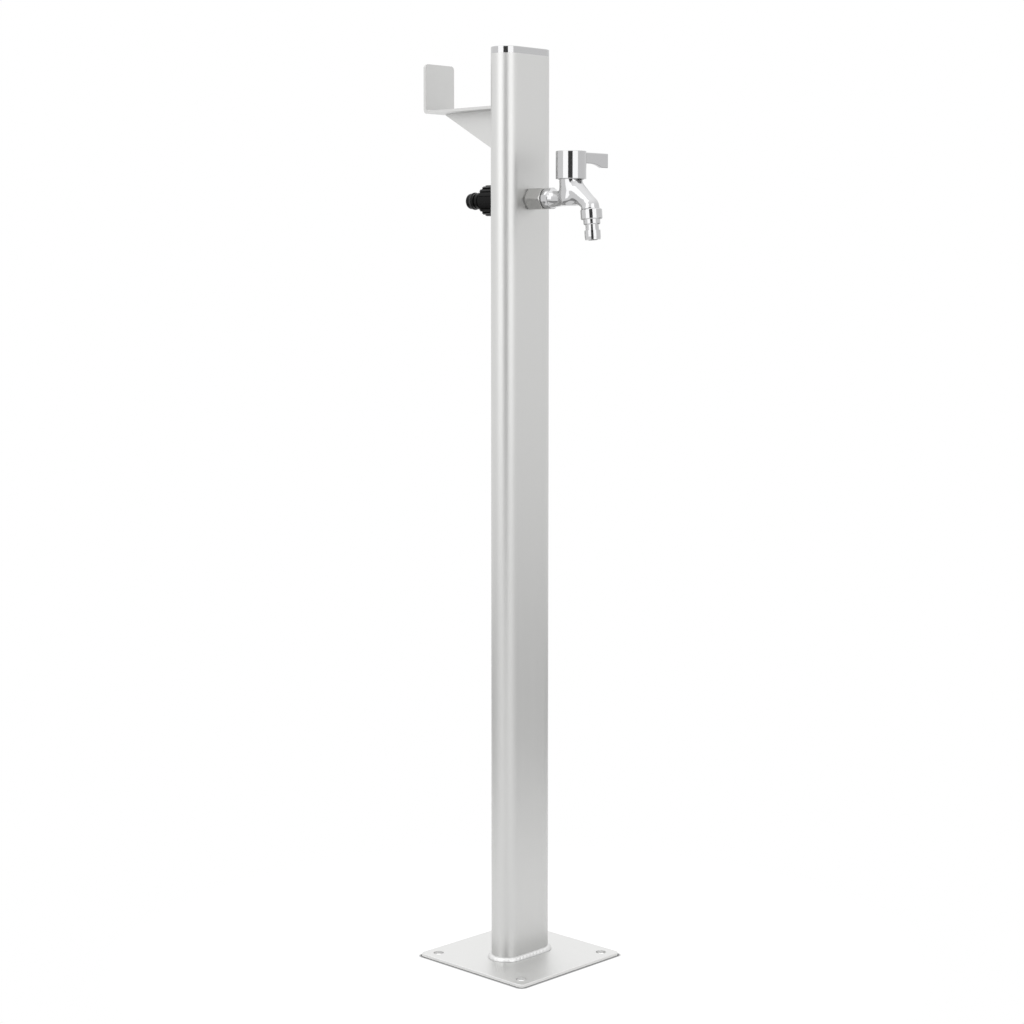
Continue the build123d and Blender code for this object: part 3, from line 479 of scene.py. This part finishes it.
print("group", grain_group.name, "with", len(grain_group.nodes), "nodes")

# %% Node group: handling marks, as smudges and a few hair scratches
smudge_noise = (0.48, 0.72)
scratch_noise = (0.68, 0.74)
scratch_turn = (0.5, 0.3, 0.9)
scratch_stretch = (1.0, 0.03, 0.06)

marks_group = new_group(
    "handling_marks",
    [("Smudge Scale", number, 30.0), ("Scratch Scale", number, 1600.0)],
    ["Smudge", "Scratch"],
)
given = add_node(marks_group, "NodeGroupInput")
point = add_node(marks_group, "ShaderNodeTexCoord")
cloud = add_node(
    marks_group, "ShaderNodeTexNoise",
    {
        "Vector": point.outputs["Object"], "Scale": given.outputs["Smudge Scale"],
        "Detail": 4.0, "Distortion": 0.6,
    },
)
smudge = add_node(
    marks_group, "ShaderNodeMapRange",
    {
        "Value": cloud.outputs["Fac"],
        "From Min": smudge_noise[0], "From Max": smudge_noise[1],
    },
    interpolation_type="SMOOTHSTEP",
)
slanted = add_node(
    marks_group, "ShaderNodeMapping",
    {
        "Vector": point.outputs["Object"],
        "Rotation": scratch_turn, "Scale": scratch_stretch,
    },
)
streak = add_node(
    marks_group, "ShaderNodeTexNoise",
    {"Vector": slanted.outputs[0], "Scale": given.outputs["Scratch Scale"], "Detail": 1.0},
)
hair = add_node(
    marks_group, "ShaderNodeMapRange",
    {
        "Value": streak.outputs["Fac"],
        "From Min": scratch_noise[0], "From Max": scratch_noise[1],
    },
)
rare = add_node(
    marks_group, "ShaderNodeMath", {0: hair.outputs["Result"], 1: smudge.outputs["Result"]},
    operation="MULTIPLY",
)
add_node(
    marks_group, "NodeGroupOutput",
    {"Smudge": smudge.outputs["Result"], "Scratch": rare.outputs[0]},
)
print("group", marks_group.name, "with", len(marks_group.nodes), "nodes")

# %% [markdown]
# ## One recipe for every rigid finish
#
# Each finish is a Principled shader whose colour is a plain value, whose roughness drifts with the
# grain and the smudges, and whose surface is lightly bumped. Writing a dozen node trees by hand
# would repeat the same wiring, so a function builds the tree and each finish gives it numbers.

# %% The recipe
noise_low, noise_high = 0.25, 0.75


def finish(
    name, colour, roughness, metallic=1.0, drift=0.04, smudge=0.03, stretch=(1.0, 1.0, 1.0),
    grain_scale=900.0, coarse_share=0.3, bump_height=0.00002, tint_drift=0.03, specular=0.5,
    scratch_share=0.25,
):
    """A rigid surface finish with grain, drifting roughness and handling marks."""
    made = empty_material(name)
    tree = made.node_tree
    grain = add_node(tree, "ShaderNodeGroup", node_tree=grain_group)
    grain.inputs["Stretch"].default_value = stretch
    grain.inputs["Scale"].default_value = grain_scale
    grain.inputs["Coarse Share"].default_value = coarse_share
    marks = add_node(tree, "ShaderNodeGroup", node_tree=marks_group)
    grain_part = add_node(
        tree, "ShaderNodeMapRange",
        {
            "Value": grain.outputs["Variation"], "From Min": noise_low, "From Max": noise_high,
            "To Min": roughness - drift, "To Max": roughness + drift,
        },
    )
    smudge_part = add_node(
        tree, "ShaderNodeMath",
        {0: marks.outputs["Smudge"], 1: smudge, 2: grain_part.outputs["Result"]},
        operation="MULTIPLY_ADD",
    )
    tint = add_node(
        tree, "ShaderNodeMapRange",
        {
            "Value": grain.outputs["Height"], "From Min": noise_low, "From Max": noise_high,
            "To Min": 1.0 - tint_drift, "To Max": 1.0,
        },
    )
    shade = add_node(
        tree, "ShaderNodeVectorMath", {0: colour, "Scale": tint.outputs["Result"]},
        operation="SCALE",
    )
    scratched = add_node(
        tree, "ShaderNodeMath",
        {0: marks.outputs["Scratch"], 1: -scratch_share, 2: grain.outputs["Height"]},
        operation="MULTIPLY_ADD",
    )
    bump = add_node(
        tree, "ShaderNodeBump",
        {"Height": scratched.outputs[0], "Distance": bump_height, "Strength": 1.0},
    )
    shader = add_node(
        tree, "ShaderNodeBsdfPrincipled",
        {
            "Base Color": shade.outputs["Vector"], "Metallic": metallic,
            "Roughness": smudge_part.outputs[0], "Normal": bump.outputs["Normal"],
            "Specular IOR Level": specular,
        },
    )
    add_node(tree, "ShaderNodeOutputMaterial", {"Surface": shader.outputs[0]})
    return made


# %% [markdown]
# ## The finishes
#
# The column is extruded and anodised, so its grain is stretched into faint die lines along the
# column. The plate and the hose holder are cut from sheet and blasted, so their grain is round.
# Chrome is smooth and very slightly wavy. The wall fitting is satin nickel, and the connector is
# moulded plastic. The inner pieces have finishes too, because the tap can be taken apart.

# %% Finishes for the record's slots, and three for single pieces
column_finish = finish(
    "extruded_aluminium", (0.64, 0.64, 0.632), 0.40, drift=0.02, smudge=0.015,
    stretch=(1.0, 1.0, 0.01), grain_scale=1500.0, coarse_share=0.35, bump_height=0.000004,
    tint_drift=0.02,
)
sheet_finish = finish(
    "blasted_aluminium", (0.64, 0.64, 0.633), 0.42, drift=0.03, smudge=0.02,
    grain_scale=1300.0, bump_height=0.000012, tint_drift=0.03,
)
chrome_finish = finish(
    "chrome_plate", (0.53, 0.53, 0.535), 0.07, drift=0.01, smudge=0.03,
    grain_scale=260.0, coarse_share=0.8, bump_height=0.00001, tint_drift=0.0,
)
plate_finish = finish(
    "foot_plate_aluminium", (0.72, 0.72, 0.713), 0.42, drift=0.03, smudge=0.02,
    grain_scale=1300.0, bump_height=0.000012, tint_drift=0.03,
)
nickel_finish = finish(
    "satin_nickel", (0.44, 0.438, 0.43), 0.2, drift=0.02, smudge=0.02,
    grain_scale=1600.0, bump_height=0.000002, tint_drift=0.02,
)
brass_finish = finish(
    "machined_brass", (0.72, 0.53, 0.25), 0.24, drift=0.05, grain_scale=700.0,
)
rubber_finish = finish(
    "black_rubber", (0.02, 0.02, 0.02), 0.62, metallic=0.0, drift=0.08, grain_scale=1600.0,
)
connector_finish = finish(
    "black_plastic", (0.003, 0.003, 0.003), 0.24, metallic=0.0, drift=0.05, grain_scale=1400.0,
    bump_height=0.000006, specular=0.12,
)
washer_finish = finish(
    "grey_fibre", (0.24, 0.24, 0.235), 0.6, metallic=0.0, drift=0.05, grain_scale=900.0,
)
sleeve_finish = finish(
    "pale_plastic", (0.72, 0.72, 0.70), 0.45, metallic=0.0, drift=0.05, grain_scale=1000.0,
)
ceramic_finish = finish(
    "lapped_ceramic", (0.86, 0.85, 0.82), 0.16, metallic=0.0, drift=0.04, grain_scale=800.0,
    bump_height=0.000004,
)
steel_finish = finish(
    "plated_steel", (0.58, 0.58, 0.59), 0.22, drift=0.05, grain_scale=900.0,
)

finish_of_slot = {
    "satin_aluminium": sheet_finish,
    "chrome": chrome_finish,
    "satin_nickel": nickel_finish,
    "brass": brass_finish,
    "black_rubber": rubber_finish,
    "black_plastic": connector_finish,
    "pale_plastic": sleeve_finish,
    "ceramic": ceramic_finish,
    "plated_steel": steel_finish,
}

# %% Every CAD node gets the finish of its slot
slot_of_node = {part["node"]: part["material_slot"] for part in frame["record"]["subparts"]}
for name, piece in nodes.items():
    piece.data.materials.clear()
    piece.data.materials.append(finish_of_slot[slot_of_node[name]])
nodes["column_tube"].data.materials[0] = column_finish
nodes["base_plate"].data.materials[0] = plate_finish
nodes["front_washer"].data.materials[0] = washer_finish
print("finished nodes:", len(nodes))

# %% The column is painted darker just above its weld, as painted shade
painted_shade_height = 0.024
painted_shade_share = 0.86
weld_low, weld_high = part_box("foot_weld")


def paint_shade_near_weld(material):
    """Darkens a finish in a soft band above the weld, as painted shade."""
    tree = material.node_tree
    shader = next(item for item in tree.nodes if item.type == "BSDF_PRINCIPLED")
    clean = shader.inputs["Base Color"].links[0].from_socket
    point = add_node(tree, "ShaderNodeTexCoord")
    height = add_node(tree, "ShaderNodeSeparateXYZ", {0: point.outputs["Object"]})
    share = add_node(
        tree, "ShaderNodeMapRange",
        {
            "Value": height.outputs["Z"], "From Min": weld_high.z,
            "From Max": weld_high.z + painted_shade_height, "To Min": painted_shade_share,
        },
        interpolation_type="SMOOTHSTEP",
    )
    shaded_colour = add_node(
        tree, "ShaderNodeVectorMath", {0: clean, "Scale": share.outputs["Result"]},
        operation="SCALE",
    )
    tree.links.new(shaded_colour.outputs["Vector"], shader.inputs["Base Color"])


# Painted shade on the column's colour, in a band above the weld
paint_shade_near_weld(column_finish)

# %% [markdown]
# ## The weld bead
#
# The column is welded to its plate all round. A weld is laid as a row of overlapping pools, and
# each pool freezes with a curved edge, so the bead looks like stacked coins. The CAD has the plain
# bead. Here its section is spun round the two ends and extruded along the flats, and the rows of
# vertices are then moved in and out in the rhythm of the pools.

# %% The bead's sizes, read from the CAD
column_low, column_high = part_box("column_tube")
end_radius = (column_high.y - column_low.y) / 2
flat_half = (column_high.x - column_low.x) / 2 - end_radius
bead_base = weld_low.z
bead_leg = weld_high.z - weld_low.z
pool_length = 0.0050
pool_depth = 0.0007
pool_curve_share = 0.55
calm_share = 0.45
bead_end_share = 0.12
outward_share, upward_share = 0.8, 0.6
weaves = ((0.35, 210.0, 0.0), (0.25, 97.0, 1.3))
join_distance = 0.00001
section_steps = 9
round_steps = 96
flat_steps = 72
print("weld leg", round(bead_leg, 4), "on a column end of radius", round(end_radius, 4))

# %% The bead's section, spun and extruded into a closed ring
bm = bmesh.new()
corner = bm.verts.new((flat_half, -end_radius + pool_depth, bead_base))
toe = bm.verts.new((flat_half, -end_radius - bead_leg + pool_depth, bead_base))
bmesh.ops.spin(
    bm, geom=[toe], cent=(flat_half, -end_radius + pool_depth, bead_base), axis=(-1, 0, 0),
    angle=pi / 2, steps=section_steps,
)
bmesh.ops.contextual_create(bm, geom=[corner, toe])
crown_end = max(bm.verts, key=lambda vert: vert.co.z)
bmesh.ops.contextual_create(bm, geom=[corner, crown_end])
bm.edges.ensure_lookup_table()
print("section of", len(bm.verts), "points and", len(bm.edges), "edges")


def run_straight(bm, loop, length):
    """Extrudes a section along the column's flat side in short steps."""
    step = length / flat_steps
    for _ in range(flat_steps):
        grown = bmesh.ops.extrude_edge_only(bm, edges=loop)["geom"]
        moved = [item for item in grown if isinstance(item, bmesh.types.BMVert)]
        bmesh.ops.translate(bm, verts=moved, vec=(step, 0, 0))
        loop = [item for item in grown if isinstance(item, bmesh.types.BMEdge)]
    return loop


def run_round(bm, loop, centre_x):
    """Spins a section half a turn round one end of the column."""
    points = list({vert for edge in loop for vert in edge.verts})
    spun = bmesh.ops.spin(
        bm, geom=points + loop, cent=(centre_x, 0, 0), axis=(0, 0, 1), angle=pi,
        steps=round_steps,
    )["geom_last"]
    return [item for item in spun if isinstance(item, bmesh.types.BMEdge)]


loop = list(bm.edges)
loop = run_round(bm, loop, flat_half)
loop = run_straight(bm, loop, -2 * flat_half)
loop = run_round(bm, loop, -flat_half)
loop = run_straight(bm, loop, 2 * flat_half)
bmesh.ops.remove_doubles(bm, verts=bm.verts, dist=join_distance)
bmesh.ops.recalc_face_normals(bm, faces=bm.faces)
print("bead of", len(bm.faces), "faces")

# %% The pools: a rhythm along the path, curved across the bead and calmer round the ends
half_way = pi * end_radius + 2 * flat_half


def path_place(point):
    """How far along the column's outline a point lies, and its direction outwards."""
    centre = Vector((max(-flat_half, min(flat_half, point.x)), 0, 0))
    outwards = Vector((point.x, point.y, 0)) - centre
    outwards.normalize()
    if abs(point.x) <= flat_half:
        return (-point.x if outwards.y > 0 else half_way + point.x), outwards
    angle = atan2(outwards.y, outwards.x)
    turned = angle if point.x > 0 else angle - pi if angle > 0 else angle + pi
    end_start = (0.0 if point.x > 0 else half_way) - flat_half - pi * end_radius / 2
    return end_start + turned * end_radius, outwards


for vert in bm.verts:
    along, outwards = path_place(vert.co)
    across = (vert.co.z - bead_base) / bead_leg
    bow = pool_curve_share * pool_length * (1 - (2 * across - 1) ** 2)
    swell = abs(sin(pi * (along + bow) / pool_length)) - 1.0
    unevenness = sum(share * sin(along * rate + shift) for share, rate, shift in weaves)
    past_flat = min(1.0, max(0.0, (abs(vert.co.x) - flat_half) / bead_leg))
    calmed = pool_depth * (1.0 - (1.0 - calm_share) * past_flat)
    crosswise = min(1.0, max(0.0, bead_end_share + (1 - 2 * bead_end_share) * across))
    depth = calmed * (1 + unevenness) * swell * sin(pi * crosswise)
    vert.co += (outwards * outward_share + Vector((0, 0, upward_share))) * depth

# %% The bead's finish, and the bead in place of the CAD's plain one
weld_finish = finish(
    "weld_aluminium", (0.70, 0.70, 0.695), 0.42, drift=0.06, smudge=0.05, grain_scale=500.0,
    coarse_share=0.5, bump_height=0.00004, tint_drift=0.06,
)
weld_bead = add_piece("weld_bead", bm, weld_finish)
for face in weld_bead.data.polygons:
    face.use_smooth = True
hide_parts("foot_weld")
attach(weld_bead, "standpipe")

# %% [markdown]
# ## The blend at the lever's root
#
# The lever and the barrel of the handle are one casting, and the corner between them is rounded.
# A hollow corner could be cut in the CAD, but it meets the barrel's rounded rims there. As a thin
# strip on each side of the lever it is simple: a triangle with one hollow side, extruded upwards.

# %% Two strips with a hollow side
handle_low, handle_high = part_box("lever_handle")
lever_top_step = 0.0004
lever_half = 0.0020
lever_depth = 0.0110
blend_radius = 0.0032
barrel_radius = (handle_high.y - handle_low.y) / 2
axis_y = (handle_high.y + handle_low.y) / 2
blend_centre_y = lever_half + blend_radius
blend_centre_x = sqrt((barrel_radius + blend_radius) ** 2 - blend_centre_y ** 2)
blend_top = handle_high.z - 2 * lever_top_step
blend_bottom = handle_high.z - lever_top_step - lever_depth
print("barrel radius", round(barrel_radius, 4), "blend centre", round(blend_centre_x, 4))

blend_bite = 0.0006
blend_steps = 10
blend_angle = pi / 2 - atan2(blend_centre_y, blend_centre_x)
bm = bmesh.new()
for side in (-1, 1):
    on_lever = bm.verts.new((blend_centre_x, side * lever_half, blend_bottom))
    hidden = bm.verts.new(
        (barrel_radius - 2 * blend_bite, side * (lever_half - blend_bite), blend_bottom)
    )
    bmesh.ops.spin(
        bm, geom=[on_lever], cent=(blend_centre_x, side * blend_centre_y, blend_bottom),
        axis=(0, 0, -side), angle=blend_angle, steps=blend_steps,
    )
    rim = [vert for vert in bm.verts if vert.co.y * side > 0 and vert is not hidden]
    rim.sort(key=lambda vert: vert.co.x)
    face = bm.faces.new([hidden] + rim)
    grown = bmesh.ops.extrude_face_region(bm, geom=[face])["geom"]
    bmesh.ops.translate(
        bm, verts=[item for item in grown if isinstance(item, bmesh.types.BMVert)],
        vec=(0, 0, blend_top - blend_bottom),
    )
bmesh.ops.translate(bm, verts=bm.verts, vec=(0, axis_y, 0))
bmesh.ops.recalc_face_normals(bm, faces=bm.faces)
lever_root_blend = add_piece("lever_root_blend", bm, chrome_finish)
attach(lever_root_blend, "handle")

# %% [markdown]
# ## The tap's casting
#
# The tap body is cast, ground and polished, so its chamber, neck and spout run into each other
# without an edge. A few fillets in the CAD come near to that. Here a copy of the casting is made
# one even skin by a voxel remesh, and its vertices are smoothed where the polisher's wheel
# reaches. The turned collar and the threaded tail behind it stay as sharp as they are.

# %% The casting apart from its turned collar
merge_distance = 0.0000005
cut_tolerance = 0.000001


def merged_copy(node):
    """The mesh of a CAD node as a bmesh with its loose triangles joined."""
    made = bmesh.new()
    made.from_mesh(nodes[node].data)
    bmesh.ops.remove_doubles(made, verts=made.verts, dist=merge_distance)
    return made


def cut_off(bm, place, normal):
    """Cuts away what lies on the side that the normal points to, and closes the cut ring."""
    cut = bmesh.ops.bisect_plane(
        bm, geom=bm.verts[:] + bm.edges[:] + bm.faces[:], plane_co=place, plane_no=normal,
        dist=cut_tolerance, clear_outer=True,
    )["geom_cut"]
    rim = [item for item in cut if isinstance(item, bmesh.types.BMEdge) and item.is_boundary]
    bmesh.ops.bridge_loops(bm, edges=rim)


collar_length = 0.0082
collar_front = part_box("inlet_seal")[0].y - collar_length
chamber_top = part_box("tap_body")[1].z
turned_part = merged_copy("tap_body")
cut_off(turned_part, (0, collar_front, 0), (0, -1, 0))
casting = merged_copy("tap_body")
cut_off(casting, (0, collar_front, 0), (0, 1, 0))
print("collar part", len(turned_part.faces), "faces, casting", len(casting.faces), "faces")

# %% One even skin over the casting
skin_size = 0.0004
rough = add_piece("tap_body_rough", casting, chrome_finish)
skin = rough.modifiers.new("skin", "REMESH")
skin.mode = "VOXEL"
skin.voxel_size = skin_size
bpy.context.view_layer.update()
depsgraph = bpy.context.evaluated_depsgraph_get()
skinned = bpy.data.meshes.new_from_object(rough.evaluated_get(depsgraph))
bpy.data.objects.remove(rough)
print("skin of", len(skinned.polygons), "faces")

# %% Smoothing where the polisher reaches
bore_keep = 0.0092
rim_keep = 0.0022
collar_keep = 0.0008
outlet_keep = 0.7868
smooth_rounds = 240
smooth_factor = 0.5
valve_axis = Vector((0.0, axis_y))
bm = bmesh.new()
bm.from_mesh(skinned)
polished = [
    vert for vert in bm.verts
    if vert.co.y < collar_front - collar_keep
    and outlet_keep < vert.co.z < chamber_top - rim_keep
    and (vert.co.xy - valve_axis).length > bore_keep
]
for _ in range(smooth_rounds):
    bmesh.ops.smooth_vert(
        bm, verts=polished, factor=smooth_factor,
        use_axis_x=True, use_axis_y=True, use_axis_z=True,
    )
for face in bm.faces:
    face.smooth = True
joined = bpy.data.meshes.new("turned_part")
turned_part.to_mesh(joined)
turned_part.free()
bm.from_mesh(joined)
print("polished", len(polished), "of", len(bm.verts), "vertices")
tap_casting = add_piece("tap_casting", bm, chrome_finish)
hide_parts("tap_body")
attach(tap_casting, "standpipe")

# %% [markdown]
# ## The wall fitting's edges
#
# A bar is turned and milled to a hexagon, and its edges are broken before it is plated. Those
# broken edges catch the light, and they are what shows that the bar has flats. A bevel on a copy
# of the CAD mesh makes them, once its flat faces are whole again.

# %% A copy with broken edges
edge_break = 0.0010
flat_within = radians(0.5)


def broken_edges(node, name, width, steps=2, sharper_than=radians(24)):
    """A copy of a CAD node whose sharp edges are beveled."""
    bm = merged_copy(node)
    bmesh.ops.dissolve_limit(bm, angle_limit=flat_within, verts=bm.verts, edges=bm.edges)
    sharp = [
        edge for edge in bm.edges
        if len(edge.link_faces) == 2 and edge.calc_face_angle() > sharper_than
    ]
    bmesh.ops.bevel(
        bm, geom=sharp, offset=width, offset_type="OFFSET", affect="EDGES", segments=steps,
        profile=0.5, material=-1, clamp_overlap=True,
    )
    piece = add_piece(name, bm, finish_of_slot[slot_of_node[node]])
    print(name, "has", len(piece.data.polygons), "faces")
    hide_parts(node)
    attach(piece, "standpipe")


broken_edges("wall_fitting", "wall_hexagon", edge_break)

# %% [markdown]
# ## Last: the view settings
#
# Standard view transform shows the colours as they are written.

# %% View settings and the end of the script
bpy.context.scene.view_settings.view_transform = "Standard"
